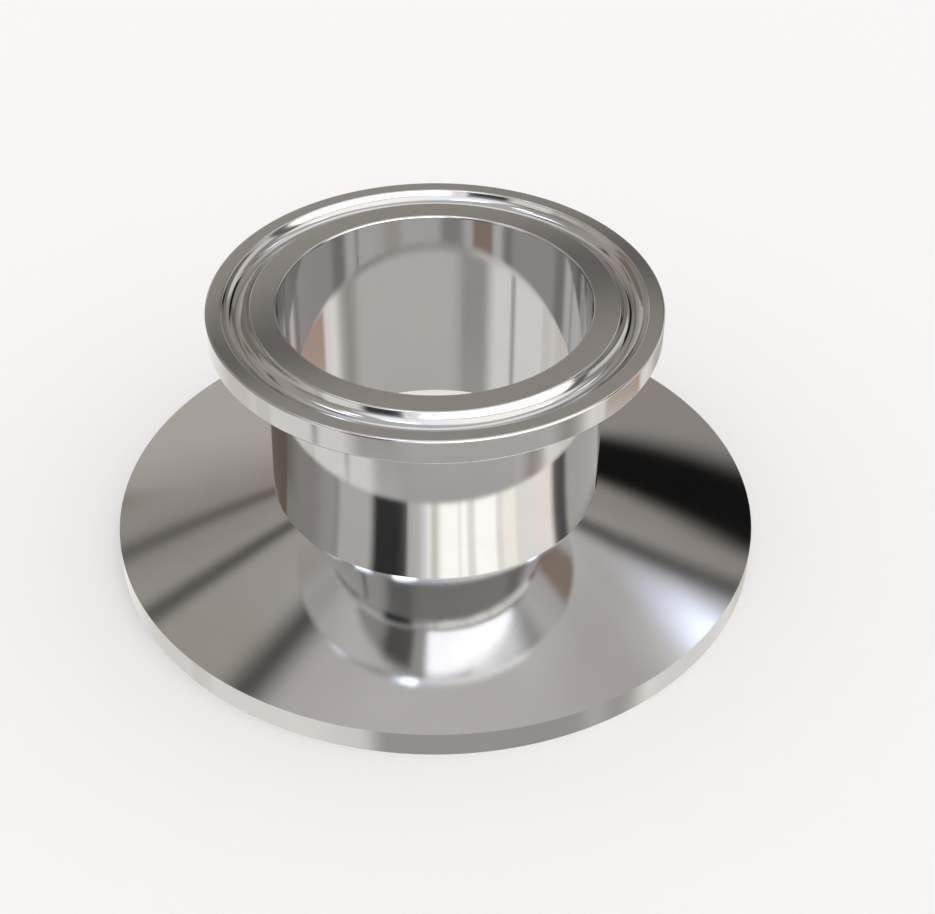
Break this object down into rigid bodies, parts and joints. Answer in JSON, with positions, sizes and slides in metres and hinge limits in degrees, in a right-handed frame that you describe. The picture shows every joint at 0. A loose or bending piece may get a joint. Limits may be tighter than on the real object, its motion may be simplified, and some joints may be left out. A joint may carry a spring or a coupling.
{
  "type": "sanitary clamp to kf adapter",
  "caption": "Short stainless adapter: a small clamp ferrule with a gasket groove on top, a straight tube, and a wide flange with a sloped back below.",
  "frame": {"origin": "centre of the vacuum flange's seal face, on the axis", "axes": "+Z along the axis, from the vacuum flange to the clamp face; X and Y are free, because the part is a full turn"},
  "size_m": [0.075, 0.075, 0.032],
  "materials": {
    "stainless_steel": "polished"
  },
  "bodies": {
    "root": {"adapter_body": "stainless_steel"}
  },
  "joints": []
}
